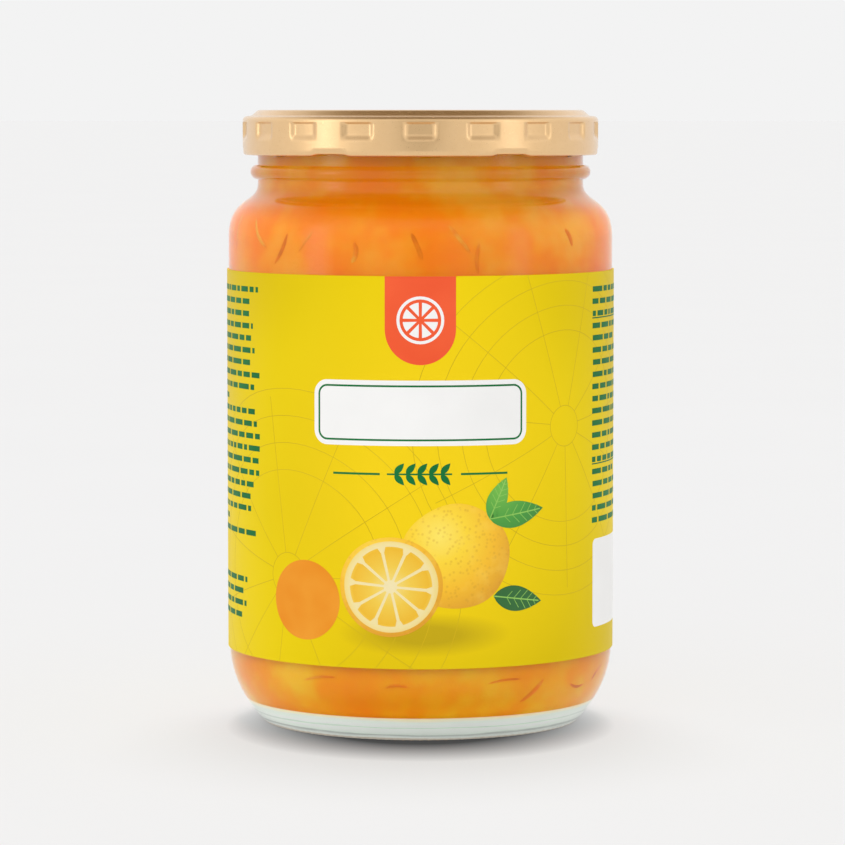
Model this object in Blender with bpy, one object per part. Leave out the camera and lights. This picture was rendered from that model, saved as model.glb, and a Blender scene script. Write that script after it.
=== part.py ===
"""A 1 kg glass jar of citrus preserve with a lug lid, in metres, +Z up.

The origin is the centre of the jar's foot on the table. The front of the label faces -Y. Angles are measured from
the front, and grow towards +X, which is anticlockwise as seen from above, the way the lid opens.
"""

import math

import bmesh
import bpy

MM = 0.001

# Driving dimensions of the glass
BODY_RADIUS = 46.5 * MM
FOOT_RADIUS = 38.2 * MM
FOOT_INNER_RADIUS = 36.2 * MM
HEEL_HEIGHT = 18.5 * MM
HEEL_FULLNESS = 0.93
PUSH_UP_RADIUS = 33.0 * MM
PUSH_UP_EDGE = 1.9 * MM
PUSH_UP_CENTRE = 2.4 * MM
WALL = 2.6 * MM
SHOULDER_FOOT = 117.5 * MM
SHOULDER_BULGE = 9.7 * MM
SHOULDER_TUCK = 4.8 * MM
SHOULDER_TOP = 130.4 * MM
NECK_RADIUS = 39.4 * MM
RIM_TOP = 146.3 * MM
MOUTH_RADIUS = 36.8 * MM
INNER_SHOULDER_FOOT = 116.4 * MM
INNER_SHOULDER_TOP = 130.4 * MM
RIM_OUTER_ROUND = 1.5 * MM
RIM_OUTER_BEVEL = 0.5 * MM
RIM_FLAT_INSET = 1.3 * MM
RIM_INNER_ROUND = 1.0 * MM
RIM_INNER_BEVEL = 0.6 * MM

# Bead round the neck, under the lid
BEAD_RADIUS = 41.2 * MM
BEAD_HEIGHT = 133.2 * MM
BEAD_HALF_WIDTH = 1.8 * MM

# Inside of the base
FLOOR = 5.2 * MM
FLOOR_CENTRE = 6.0 * MM
FLOOR_RADIUS = 36.0 * MM
INNER_HEEL_HEIGHT = 11.5 * MM
INNER_HEEL_FULLNESS = 0.62

# Screw thread and twist of the lid
LUGS = 6
THREAD_LEAD = 4.3 * MM
THREAD_RADIUS = 41.0 * MM
THREAD_ROOT = 38.4 * MM
THREAD_ROOT_HALF_WIDTH = 1.35 * MM
THREAD_TIP_HALF_WIDTH = 0.45 * MM
THREAD_LEAST_STAND = 0.4 * MM
THREAD_OVER_LUG = 139.95 * MM
THREAD_START = -33.0
THREAD_END = 38.0
THREAD_RUN_OUT = 9.0
THREAD_STATIONS = 14
FIRST_LUG = 30.0

# Lid, pressed from sheet
LID_RADIUS = 43.0 * MM
SHEET = 0.5 * MM
LID_TOP = 148.1 * MM
LID_BOTTOM = 137.3 * MM
PANEL_HEIGHT = 147.0 * MM
PANEL_RADIUS = 34.6 * MM
POCKETS = 18
POCKET_DEPTH = 0.7 * MM
POCKET_TOP = 145.3 * MM
POCKET_FLOOR_TOP = 145.0 * MM
POCKET_FLOOR_BOTTOM = 142.6 * MM
POCKET_BOTTOM = 140.6 * MM
POCKET_FLOOR_HALF_ANGLE = 3.9
POCKET_HALF_ANGLE = 5.4
LUG_HALF_ANGLE = 7.5
LUG_TIP_HALF_ANGLE = 4.0
LUG_REACH = 40.25 * MM

# Raised ring of the lid, outside and under: (inset from the skirt, drop from the top)
RING_OUTSIDE = (
    (7.5 * MM, 0.15 * MM),
    (6.8 * MM, 0.0),
    (4.1 * MM, 0.0),
    (3.3 * MM, 0.4 * MM),
    (2.3 * MM, 1.35 * MM),
    (1.1 * MM, 1.5 * MM),
    (0.3 * MM, 1.9 * MM),
)
RING_INSIDE = (
    (0.7 * MM, 2.2 * MM),
    (2.1 * MM, 1.85 * MM),
    (3.2 * MM, 0.9 * MM),
    (3.7 * MM, 0.5 * MM),
    (6.2 * MM, 0.5 * MM),
    (6.7 * MM, 0.7 * MM),
)

# Curled lower edge: (inset from the skirt, rise from the bottom, how a lug moves it in and up)
CURL_INSET = 1.4 * MM
LUG_PRESS = LID_RADIUS - CURL_INSET - LUG_REACH
CURL = (
    (0.0, 1.4 * MM, (0.2 * MM, 0.0)),
    (0.1 * MM, 0.6 * MM, (0.55 * MM, 0.1 * MM)),
    (0.6 * MM, 0.05 * MM, (0.6 * MM, 0.3 * MM)),
    (1.1 * MM, 0.0, (1.0 * MM, 0.3 * MM)),
    (CURL_INSET, 0.3 * MM, (LUG_PRESS, 0.2 * MM)),
    (CURL_INSET, 1.0 * MM, (LUG_PRESS, 0.15 * MM)),
    (1.0 * MM, 1.3 * MM, (0.7 * MM, 0.0)),
    (SHEET, 1.6 * MM, (0.1 * MM, 0.0)),
)

# Sealing ring in the lid
SEAL_INNER_RADIUS = 36.4 * MM
SEAL_OUTER_RADIUS = 38.7 * MM
SEAL_BOTTOM = 146.6 * MM
SEAL_TOP = 147.3 * MM
SEAL_BEVEL = 0.25 * MM

# Filling, a little clear of the glass all round
FILL_CLEARANCE = 0.15 * MM
FILL_TOP = 139.5 * MM

# Paper label
LABEL_CLEARANCE = 0.15 * MM
LABEL_THICKNESS = 0.25 * MM
LABEL_BOTTOM = 18.2 * MM
LABEL_TOP = 109.8 * MM
LABEL_START = -187.5
LABEL_END = 165.0

# Turned pieces share these facets, so that neighbours stay clear of each other
TURNED_STEPS = 48
STEP_ANGLE = 360.0 / TURNED_STEPS
BEZIER_STEPS = 7
HEEL_STEPS = 7
HEEL_STEP_GROWTH = 1.7
BEAD_STEPS = 6
SHARP_ANGLE = math.radians(35.0)


def clear_scene():
    for obj in list(bpy.data.objects):
        bpy.data.objects.remove(obj, do_unlink=True)


def material(name, colour, roughness, metallic=0.0, alpha=1.0, transmission=0.0):
    mat = bpy.data.materials.new(name)
    mat.use_nodes = True
    shader = mat.node_tree.nodes["Principled BSDF"]
    shader.inputs["Base Color"].default_value = (*colour, 1.0)
    shader.inputs["Roughness"].default_value = roughness
    shader.inputs["Metallic"].default_value = metallic
    shader.inputs["Alpha"].default_value = alpha
    shader.inputs["Transmission Weight"].default_value = transmission
    mat.diffuse_color = (*colour, alpha)
    return mat


def place(name, bm, mat, parent=None):
    """Turns a bmesh into a named object with its faces pointing out and round sides shaded smooth."""
    bmesh.ops.recalc_face_normals(bm, faces=bm.faces)
    mesh = bpy.data.meshes.new(name)
    bm.to_mesh(mesh)
    bm.free()
    mesh.shade_smooth()
    mesh.set_sharp_from_angle(angle=SHARP_ANGLE)
    mesh.materials.append(mat)
    obj = bpy.data.objects.new(name, mesh)
    bpy.context.scene.collection.objects.link(obj)
    if parent is not None:
        obj.parent = parent
    return obj


def empty(name, parent=None):
    obj = bpy.data.objects.new(name, None)
    bpy.context.scene.collection.objects.link(obj)
    if parent is not None:
        obj.parent = parent
    return obj


def at_angle(radius, degrees, height):
    """A point at an angle from the front, -Y, growing towards +X."""
    turn = math.radians(degrees)
    return (radius * math.sin(turn), -radius * math.cos(turn), height)


def turned(outline):
    """A bmesh of a half outline of (radius, height) points, spun round the Z axis."""
    bm = bmesh.new()
    verts = [bm.verts.new((radius, 0.0, height)) for radius, height in outline]
    edges = [bm.edges.new(pair) for pair in zip(verts, verts[1:])]
    if outline[0][0] > 0.0 and outline[-1][0] > 0.0:
        edges.append(bm.edges.new((verts[-1], verts[0])))
    bmesh.ops.spin(
        bm,
        geom=verts + edges,
        cent=(0.0, 0.0, 0.0),
        axis=(0.0, 0.0, 1.0),
        angle=math.tau,
        steps=TURNED_STEPS,
        use_merge=True,
    )
    bmesh.ops.remove_doubles(bm, verts=bm.verts, dist=1e-6)
    return bm


def bezier(start, start_pull, end_pull, end, steps):
    """Points of a cubic curve, both ends included."""
    points = []
    for i in range(steps + 1):
        t = i / steps
        weights = ((1 - t) ** 3, 3 * t * (1 - t) ** 2, 3 * t * t * (1 - t), t**3)
        corners = (start, start_pull, end_pull, end)
        points.append(tuple(sum(w * c[axis] for w, c in zip(weights, corners)) for axis in (0, 1)))
    return points


def heel_curve(low_radius, high_radius, low, high, fullness, steps):
    """The rounded lower corner of the jar, from its foot or floor up to its straight wall."""
    points = []
    for i in range(steps + 1):
        rise = (i / steps) ** HEEL_STEP_GROWTH
        reach = (1.0 - (1.0 - rise) ** 2) ** fullness
        points.append((low_radius + (high_radius - low_radius) * reach, low + (high - low) * rise))
    return points


def glass_outside():
    """From the middle of the base, out over the foot, up the wall and neck to the top of the rim."""
    heel = heel_curve(FOOT_RADIUS, BODY_RADIUS, 0.0, HEEL_HEIGHT, HEEL_FULLNESS, HEEL_STEPS)
    shoulder = bezier(
        (BODY_RADIUS, SHOULDER_FOOT),
        (BODY_RADIUS, SHOULDER_FOOT + SHOULDER_BULGE),
        (NECK_RADIUS, SHOULDER_TOP - SHOULDER_TUCK),
        (NECK_RADIUS, SHOULDER_TOP),
        BEZIER_STEPS,
    )
    bead = []
    for i in range(BEAD_STEPS + 1):
        turn = math.pi * (i / BEAD_STEPS - 0.5)
        radius = NECK_RADIUS + (BEAD_RADIUS - NECK_RADIUS) * math.cos(turn)
        bead.append((radius, BEAD_HEIGHT + BEAD_HALF_WIDTH * math.sin(turn)))
    rim = [
        (NECK_RADIUS, RIM_TOP - RIM_OUTER_ROUND),
        (NECK_RADIUS - RIM_OUTER_BEVEL, RIM_TOP - RIM_OUTER_BEVEL),
        (NECK_RADIUS - RIM_FLAT_INSET, RIM_TOP),
    ]
    base = [(0.0, PUSH_UP_CENTRE), (PUSH_UP_RADIUS, PUSH_UP_EDGE), (FOOT_INNER_RADIUS, 0.0)]
    return base + heel + shoulder + bead + rim


def glass_inside(inset=0.0):
    """From the middle of the inner floor, out and up to the mouth, moved in by inset."""
    wall = BODY_RADIUS - WALL - inset
    mouth = MOUTH_RADIUS - inset
    floor = FLOOR + inset
    heel = heel_curve(
        FLOOR_RADIUS - inset, wall, floor, floor + INNER_HEEL_HEIGHT, INNER_HEEL_FULLNESS, HEEL_STEPS
    )
    shoulder = bezier(
        (wall, INNER_SHOULDER_FOOT),
        (wall, INNER_SHOULDER_FOOT + SHOULDER_BULGE),
        (mouth, INNER_SHOULDER_TOP - SHOULDER_TUCK),
        (mouth, INNER_SHOULDER_TOP),
        BEZIER_STEPS,
    )
    return [(0.0, FLOOR_CENTRE + inset)] + heel + shoulder


def thread_rib(lug_angle, mat):
    """One sloping rib of the thread, its root sunk in the neck and its ends run out to nothing."""
    bm = bmesh.new()
    rings = []
    for i in range(THREAD_STATIONS + 1):
        angle = THREAD_START + (THREAD_END - THREAD_START) * i / THREAD_STATIONS
        from_end = min(angle - THREAD_START, THREAD_END - angle) / THREAD_RUN_OUT
        stand = math.sin(math.pi / 2 * min(1.0, from_end))
        tip = THREAD_ROOT + THREAD_LEAST_STAND + (THREAD_RADIUS - THREAD_ROOT - THREAD_LEAST_STAND) * stand
        height = THREAD_OVER_LUG + THREAD_LEAD * math.radians(angle)
        section = (
            (THREAD_ROOT, -THREAD_ROOT_HALF_WIDTH),
            (tip, -THREAD_TIP_HALF_WIDTH),
            (tip, THREAD_TIP_HALF_WIDTH),
            (THREAD_ROOT, THREAD_ROOT_HALF_WIDTH),
        )
        rings.append([bm.verts.new(at_angle(r, lug_angle + angle, height + dz)) for r, dz in section])
    for low, high in zip(rings, rings[1:]):
        for a, b, c, d in zip(low, low[1:] + low[:1], high[1:] + high[:1], high):
            bm.faces.new((a, b, c, d))
    bm.faces.new(rings[0])
    bm.faces.new(rings[-1])
    return place(f"thread_{round(lug_angle) % 360}", bm, mat)


def make_glass_jar(root):
    mat = material("clear_glass", (0.93, 0.96, 0.94), 0.04, alpha=0.35, transmission=1.0)
    rim_inside = [(MOUTH_RADIUS, RIM_TOP - RIM_INNER_ROUND), (MOUTH_RADIUS + RIM_INNER_BEVEL, RIM_TOP)]
    outline = glass_outside() + list(reversed(glass_inside() + rim_inside))
    jar = place("glass_jar", turned(outline), mat, root)
    ribs = bpy.data.collections.new("thread_ribs")
    bpy.context.scene.collection.children.link(ribs)
    for i in range(LUGS):
        rib = thread_rib(FIRST_LUG + i * 360.0 / LUGS, mat)
        bpy.context.scene.collection.objects.unlink(rib)
        ribs.objects.link(rib)
    join = jar.modifiers.new("join_thread", "BOOLEAN")
    join.operation = "UNION"
    join.operand_type = "COLLECTION"
    join.collection = ribs
    apply_modifiers(jar)
    for rib in list(ribs.objects):
        bpy.data.objects.remove(rib, do_unlink=True)
    bpy.data.collections.remove(ribs)
    return jar


def apply_modifiers(obj):
    graph = bpy.context.evaluated_depsgraph_get()
    mesh = bpy.data.meshes.new_from_object(obj.evaluated_get(graph))
    mesh.name = obj.name
    obj.modifiers.clear()
    obj.data = mesh


def make_preserve(root):
    mat = material("citrus_preserve", (1.0, 0.35, 0.03), 0.3)
    sides = glass_inside(FILL_CLEARANCE)
    surface = [(sides[-1][0], FILL_TOP), (0.0, FILL_TOP)]
    return place("preserve", turned(sides + surface), mat, root)


def make_label(root):
    mat = material("yellow_paper", (0.86, 0.68, 0.02), 0.45)
    inner = BODY_RADIUS + LABEL_CLEARANCE
    outer = inner + LABEL_THICKNESS
    section = ((inner, LABEL_BOTTOM), (outer, LABEL_BOTTOM), (outer, LABEL_TOP), (inner, LABEL_TOP))
    bm = bmesh.new()
    rings = []
    for i in range(round((LABEL_END - LABEL_START) / STEP_ANGLE) + 1):
        angle = LABEL_START + i * STEP_ANGLE
        rings.append([bm.verts.new(at_angle(r, angle, z)) for r, z in section])
    for low, high in zip(rings, rings[1:]):
        for a, b, c, d in zip(low, low[1:] + low[:1], high[1:] + high[:1], high):
            bm.faces.new((a, b, c, d))
    bm.faces.new(rings[0])
    bm.faces.new(rings[-1])
    return place("label", bm, mat, root)


def make_lid_liner(rise):
    mat = material("sealing_compound", (0.72, 0.66, 0.56), 0.6)
    outline = [
        (SEAL_INNER_RADIUS, SEAL_TOP),
        (SEAL_INNER_RADIUS, SEAL_BOTTOM + SEAL_BEVEL),
        (SEAL_INNER_RADIUS + SEAL_BEVEL, SEAL_BOTTOM),
        (SEAL_OUTER_RADIUS - SEAL_BEVEL, SEAL_BOTTOM),
        (SEAL_OUTER_RADIUS, SEAL_BOTTOM + SEAL_BEVEL),
        (SEAL_OUTER_RADIUS, SEAL_TOP),
    ]
    return place("lid_liner", turned(outline), mat, rise)


def lid_outline():
    """Half outline of the pressed lid: (radius, height, pocket share, lug shift) from the middle of its top,
    over the raised ring and down the skirt, round the curl, and back up the inside. Lug shift is how a point
    moves, in and up, where the curl is pressed into a lug."""
    plain = (0.0, 0.0)
    ring = [(LID_RADIUS - inset, LID_TOP - drop, 0, plain) for inset, drop in RING_OUTSIDE]
    curl = [(LID_RADIUS - inset, LID_BOTTOM + rise, 0, shift) for inset, rise, shift in CURL]
    under_ring = [(LID_RADIUS - SHEET - inset, LID_TOP - drop, 0, plain) for inset, drop in RING_INSIDE]
    outside = skirt_rows(LID_RADIUS)
    inside = list(reversed(skirt_rows(LID_RADIUS - SHEET)))
    middle_top = [(0.0, PANEL_HEIGHT, 0, plain), (PANEL_RADIUS, PANEL_HEIGHT, 0, plain)]
    middle_under = [(PANEL_RADIUS + SHEET / 2, PANEL_HEIGHT - SHEET, 0, plain), (0.0, PANEL_HEIGHT - SHEET, 0, plain)]
    return middle_top + ring + outside + curl + inside + under_ring + middle_under


def skirt_rows(radius):
    """The rows of the skirt that carry the grip pockets, from the top down."""
    rows = ((POCKET_TOP, 0), (POCKET_FLOOR_TOP, 1), (POCKET_FLOOR_BOTTOM, 1), (POCKET_BOTTOM, 0))
    return [(radius, height, pocket, (0.0, 0.0)) for height, pocket in rows]


def lug_share(angle):
    """1 at the tip of a lug, and 0 between lugs."""
    pitch = 360.0 / LUGS
    off = abs((angle - FIRST_LUG + pitch / 2) % pitch - pitch / 2)
    return min(1.0, max(0.0, (LUG_HALF_ANGLE - off) / (LUG_HALF_ANGLE - LUG_TIP_HALF_ANGLE)))


def pocket_share(angle):
    """1 on the floor of a grip pocket, and 0 on the skirt between pockets."""
    pitch = 360.0 / POCKETS
    off = abs((angle + pitch / 2) % pitch - pitch / 2)
    slope = POCKET_HALF_ANGLE - POCKET_FLOOR_HALF_ANGLE
    return min(1.0, max(0.0, (POCKET_HALF_ANGLE - off) / slope))


def lid_point(profile_point, angle):
    radius, height, pocket, lug = profile_point
    radius -= POCKET_DEPTH * pocket * pocket_share(angle) + lug[0] * lug_share(angle)
    return at_angle(radius, angle, height + lug[1] * lug_share(angle))


def make_lid_shell(twist):
    mat = material("gold_lacquer", (0.76, 0.58, 0.36), 0.3, metallic=0.8)
    offsets = (-POCKET_HALF_ANGLE, -POCKET_FLOOR_HALF_ANGLE, POCKET_FLOOR_HALF_ANGLE, POCKET_HALF_ANGLE)
    angles = [pocket * 360.0 / POCKETS + off for pocket in range(POCKETS) for off in offsets]
    bm = bmesh.new()
    rings = []
    for point in lid_outline():
        if point[0] == 0.0:
            rings.append([bm.verts.new((0.0, 0.0, point[1]))] * len(angles))
        else:
            rings.append([bm.verts.new(lid_point(point, angle)) for angle in angles])
    for upper, lower in zip(rings, rings[1:]):
        for a, b, c, d in zip(upper, upper[1:] + upper[:1], lower[1:] + lower[:1], lower):
            corners = [a]
            corners += [v for v in (b, c, d) if v not in corners]
            bm.faces.new(list(dict.fromkeys(corners)))
    return place("lid_shell", bm, mat, twist)


clear_scene()
jar_root = empty("jar_frame")
lid_rise = empty("lid_rise_frame", jar_root)
lid_twist = empty("lid_twist_frame", lid_rise)
make_glass_jar(jar_root)
make_preserve(jar_root)
make_label(jar_root)
make_lid_liner(lid_rise)
make_lid_shell(lid_twist)
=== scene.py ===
"""A closed 1 kg glass jar of citrus preserve with a gold lug lid and a yellow paper label, in metres, +Z up.

Angles are measured round the jar from the front of the label, -Y, and grow towards +X.
"""

import math
import random

import bmesh
import bpy
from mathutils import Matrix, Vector


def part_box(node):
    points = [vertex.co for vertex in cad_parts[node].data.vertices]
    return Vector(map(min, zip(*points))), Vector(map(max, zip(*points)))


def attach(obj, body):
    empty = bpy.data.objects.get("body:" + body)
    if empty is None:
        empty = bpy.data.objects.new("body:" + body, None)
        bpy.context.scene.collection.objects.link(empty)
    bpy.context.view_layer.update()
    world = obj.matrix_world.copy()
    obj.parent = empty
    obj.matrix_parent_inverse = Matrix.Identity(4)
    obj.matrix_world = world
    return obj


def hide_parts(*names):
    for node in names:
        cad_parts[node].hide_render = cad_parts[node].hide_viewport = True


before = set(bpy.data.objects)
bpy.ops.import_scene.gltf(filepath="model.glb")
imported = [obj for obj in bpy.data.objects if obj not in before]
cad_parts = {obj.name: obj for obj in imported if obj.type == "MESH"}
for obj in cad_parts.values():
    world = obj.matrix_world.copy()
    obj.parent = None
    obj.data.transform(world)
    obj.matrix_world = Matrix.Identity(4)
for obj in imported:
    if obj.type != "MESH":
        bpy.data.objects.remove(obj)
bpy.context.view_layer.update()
mm = 0.001

# Glass jar
# One jar of clear flint glass, pressed and blown in a mould. The foot ring is stippled where it stands, the
# base is pushed up, and six sloping ribs round the neck take the lugs of the lid. The preserve shows through.
jar_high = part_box("glass_jar")[1]
body_radius = jar_high.x
rim_top = jar_high.z
neck_radius = 39.4 * mm
foot_radius = 38.2 * mm
foot_inner_radius = 36.2 * mm
heel_height = 18.5 * mm
heel_fullness, inner_heel_fullness = 0.93, 0.62
row_crowding = 1.7
glass_wall = 2.6 * mm
mouth_radius = 36.8 * mm
shoulder_foot = 117.5 * mm
shoulder_top = 130.4 * mm
inner_shoulder_foot = 116.4 * mm
inner_shoulder_top = 130.4 * mm
shoulder_bulge = 9.7 * mm
shoulder_tuck = 4.8 * mm
bead_radius = 41.2 * mm
bead_height = 133.2 * mm
bead_half_width = 1.8 * mm
inner_floor = 5.2 * mm
inner_floor_centre = 6.0 * mm
inner_floor_radius = 36.0 * mm
inner_heel_height = 11.5 * mm
thread_low = 135.3 * mm
thread_high = 144.7 * mm
thread_row = 0.25 * mm
thread_radius = 41.0 * mm
thread_lead = 4.3 * mm
thread_over_lug = 139.95 * mm
thread_start, thread_end, thread_run_out = -33.0, 38.0, 9.0
thread_tip, thread_root = 0.45 * mm, 1.05 * mm
first_lug, lug_pitch = 30.0, 60.0
stipples = 120
stipple_depth = 0.16 * mm
stipple_top, stipple_edge, stipple_fade = 0.6 * mm, 0.1 * mm, 0.6 * mm
foot_rounding = 0.4 * mm
base_profile = ((0.0, 2.4), (16.0, 2.3), (30.0, 2.0), (33.0, 1.8), (34.6, 1.2), (35.6, 0.5))
rim_outside = ((0.1, 1.0), (0.5, 0.4), (1.1, 0.05), (1.6, 0.0))
rim_inside = ((0.7, 0.1), (0.1, 0.9), (0.0, 2.0))
wall_steps, bead_steps, glass_columns = 26, 16, 480
sharp_angle = math.radians(40.0)
noise_low, noise_high = 0.3, 0.7


def at_angle(radius, degrees, height):
    """A point at an angle from the front, growing towards +X."""
    turn = math.radians(degrees)
    return Vector((radius * math.sin(turn), -radius * math.cos(turn), height))


def smooth(t):
    """An even step from 0 to 1, with soft ends."""
    t = min(1.0, max(0.0, t))
    return t * t * (3 - 2 * t)


def shoulder_curve(wall, foot, neck, top, steps):
    """A smooth turn from the straight wall in to the neck."""
    corners = ((wall, foot), (wall, foot + shoulder_bulge), (neck, top - shoulder_tuck), (neck, top))
    points = []
    for i in range(steps + 1):
        t = i / steps
        weights = ((1 - t) ** 3, 3 * t * (1 - t) ** 2, 3 * t * t * (1 - t), t**3)
        points.append(tuple(sum(w * c[axis] for w, c in zip(weights, corners)) for axis in (0, 1)))
    return points


def heel_curve(low_radius, high_radius, low, high, fullness, steps):
    """The rounded lower corner of the jar, from its foot or floor up to its straight wall."""
    points = []
    for i in range(steps + 1):
        rise = (i / steps) ** row_crowding
        reach = (1.0 - (1.0 - rise) ** 2) ** fullness
        points.append((low_radius + (high_radius - low_radius) * reach, low + (high - low) * rise))
    return points


def off_centre(angle, first, pitch):
    """How far an angle is from the nearest of a ring of evenly spaced features, with its sign."""
    return (angle - first + pitch / 2) % pitch - pitch / 2


def new_piece(name, bm, finish, body, replaced=None):
    """Makes a smooth-shaded object from a bmesh, rides it on its body and hides the CAD part it replaces."""
    bmesh.ops.recalc_face_normals(bm, faces=bm.faces)
    mesh = bpy.data.meshes.new(name)
    bm.to_mesh(mesh)
    bm.free()
    mesh.shade_smooth()
    mesh.set_sharp_from_angle(angle=sharp_angle)
    mesh.materials.append(finish)
    piece = bpy.data.objects.new(name, mesh)
    bpy.context.scene.collection.objects.link(piece)
    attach(piece, body)
    if replaced:
        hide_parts(replaced)
    return piece


def skin(bm, rings, capped=False):
    """Joins each ring of points to the next with faces, and closes both ends if it is capped."""
    for upper, lower in zip(rings, rings[1:]):
        for corners in zip(upper, upper[1:] + upper[:1], lower[1:] + lower[:1], lower):
            bm.faces.new(list(dict.fromkeys(corners)))
    if capped:
        bm.faces.new(rings[0])
        bm.faces.new(rings[-1])


def round_body(outline, columns, shape=None):
    """A closed bmesh: each (radius, height) of the outline becomes a ring, or one point on the axis."""
    bm = bmesh.new()
    rings = []
    for radius, height in outline:
        if radius == 0.0:
            rings.append([bm.verts.new((0.0, 0.0, height))] * columns)
            continue
        ring = []
        for i in range(columns):
            angle = i * 360.0 / columns
            r, z = shape(radius, height, angle) if shape else (radius, height)
            ring.append(bm.verts.new(at_angle(r, angle, z)))
        rings.append(ring)
    if outline[0][0] > 0.0:
        rings.append(rings[0])
    skin(bm, rings)
    return bm


def new_finish(name):
    """A material with its node tree, its Principled shader and its object coordinates."""
    finish = bpy.data.materials.new(name)
    finish.use_nodes = True
    tree = finish.node_tree
    where = tree.nodes.new("ShaderNodeTexCoord").outputs["Object"]
    return finish, tree, tree.nodes["Principled BSDF"], where


def noise(tree, where, scale, detail=3.0, roughness=0.5, stretch=None):
    if stretch:
        mapping = tree.nodes.new("ShaderNodeMapping")
        mapping.inputs["Scale"].default_value = stretch
        tree.links.new(where, mapping.inputs["Vector"])
        where = mapping.outputs["Vector"]
    node = tree.nodes.new("ShaderNodeTexNoise")
    node.inputs["Scale"].default_value = scale
    node.inputs["Detail"].default_value = detail
    node.inputs["Roughness"].default_value = roughness
    tree.links.new(where, node.inputs["Vector"])
    return node.outputs["Fac"]


def spread(tree, value, low, high, to_low=0.0, to_high=1.0):
    """Maps a value from one range to another and clamps it."""
    node = tree.nodes.new("ShaderNodeMapRange")
    for name, number in zip(("From Min", "From Max", "To Min", "To Max"), (low, high, to_low, to_high)):
        node.inputs[name].default_value = number
    tree.links.new(value, node.inputs["Value"])
    return node.outputs["Result"]


def roughen(tree, shader, pattern, low, high, depth=0.0, strength=0.0):
    """Lets a noise run the roughness from low to high, and dent the surface if it has a depth."""
    roughness = spread(tree, pattern, noise_low, noise_high, low, high)
    tree.links.new(roughness, shader.inputs["Roughness"])
    if depth:
        dents = tree.nodes.new("ShaderNodeBump")
        dents.inputs["Distance"].default_value = depth
        dents.inputs["Strength"].default_value = strength
        tree.links.new(pattern, dents.inputs["Height"])
        tree.links.new(dents.outputs["Normal"], shader.inputs["Normal"])


def glass_inside(steps=wall_steps):
    """From the middle of the inner floor, out and up to where the neck begins."""
    wall = body_radius - glass_wall
    heel_top = inner_floor + inner_heel_height
    floor = [(0.0, inner_floor_centre), (inner_floor_radius / 2, inner_floor_centre - 0.3 * mm)]
    heel = heel_curve(inner_floor_radius, wall, inner_floor, heel_top, inner_heel_fullness, steps)
    return floor + heel + shoulder_curve(wall, inner_shoulder_foot, mouth_radius, inner_shoulder_top, steps)


def glass_outside(steps=wall_steps):
    """From the middle of the base, over the foot and up to the neck, with its bead, the rows that carry the
    thread, and the rim."""
    base = [(r * mm, z * mm) for r, z in base_profile]
    foot = [
        (foot_inner_radius, 0.12 * mm),
        (foot_inner_radius + foot_rounding, 0.0),
        (foot_radius - foot_rounding, 0.0),
    ]
    heel = heel_curve(foot_radius, body_radius, 0.0, heel_height, heel_fullness, steps)
    shoulder = shoulder_curve(body_radius, shoulder_foot, neck_radius, shoulder_top, steps)
    bead = []
    for i in range(bead_steps + 1):
        turn = math.pi * (i / bead_steps - 0.5)
        radius = neck_radius + (bead_radius - neck_radius) * math.cos(turn)
        bead.append((radius, bead_height + bead_half_width * math.sin(turn)))
    rows = round((thread_high - thread_low) / thread_row)
    thread = [(neck_radius, thread_low + i * thread_row) for i in range(rows + 1)]
    rim = [(neck_radius - inward * mm, rim_top - down * mm) for inward, down in rim_outside]
    rim += [(mouth_radius + outward * mm, rim_top - down * mm) for outward, down in rim_inside]
    return base + foot + heel + shoulder + bead + thread + rim


def shape_glass(radius, height, angle):
    """Raises the thread's ribs from the neck and cuts the stippling into the foot."""
    if thread_low <= height <= thread_high and radius == neck_radius:
        stand = 0.0
        for turn in (-lug_pitch, 0.0, lug_pitch):
            along = off_centre(angle, first_lug, lug_pitch) + turn
            if not thread_start < along < thread_end:
                continue
            from_end = min(along - thread_start, thread_end - along) / thread_run_out
            middle = thread_over_lug + thread_lead * math.radians(along)
            aside = (thread_root - abs(height - middle)) / (thread_root - thread_tip)
            stand = max(stand, smooth(from_end) * smooth(aside))
        radius += (thread_radius - neck_radius) * stand
    if height < stipple_top and radius > foot_inner_radius - stipple_edge:
        wave = 0.5 - 0.5 * math.cos(math.radians(angle * stipples))
        edge = smooth((radius - foot_inner_radius + stipple_edge) / stipple_fade)
        height += stipple_depth * wave * edge
    return radius, height


glass_finish, tree, shader, where = new_finish("clear_glass")
shader.inputs["Base Color"].default_value = (0.965, 0.985, 0.972, 1.0)
shader.inputs["Transmission Weight"].default_value = 1.0
shader.inputs["IOR"].default_value = 1.5
shader.inputs["Specular Tint"].default_value = (0.5, 0.5, 0.5, 1.0)
ripple = noise(tree, where, 38.0, 1.0, 0.4, (1.0, 1.0, 0.45))
roughen(tree, shader, ripple, 0.005, 0.02, 0.25 * mm, 0.5)

glass_outline = glass_outside() + list(reversed(glass_inside()))
glass_mesh = round_body(glass_outline, glass_columns, shape_glass)
glass = new_piece("clear_glass_jar", glass_mesh, glass_finish, "jar", "glass_jar")
glass.visible_shadow = False

# Base glow
# The base is the thickest glass of the jar. Light runs round in it and comes out as a pale grey-green band
# with fine streaks, so a thin milky shell just under the skin of the heel stands in for that light.
glow_low, glow_high = 0.2 * mm, 6.1 * mm
glow_depth, glow_thickness = 0.2 * mm, 0.3 * mm
glow_rows, soft_columns = 60, 240
band_low, band_high, streak_shift = 1.2 * mm, 6.9 * mm, 1.3 * mm


def colour_ramp(tree, value, stops):
    """stops: (position, (r, g, b)) from low to high."""
    ramp = tree.nodes.new("ShaderNodeValToRGB")
    elements = ramp.color_ramp.elements
    while len(elements) < len(stops):
        elements.new(0.5)
    for element, (position, colour) in zip(elements, stops):
        element.position = position
        element.color = (*colour, 1.0)
    tree.links.new(value, ramp.inputs["Fac"])
    return ramp.outputs["Color"]


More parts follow.
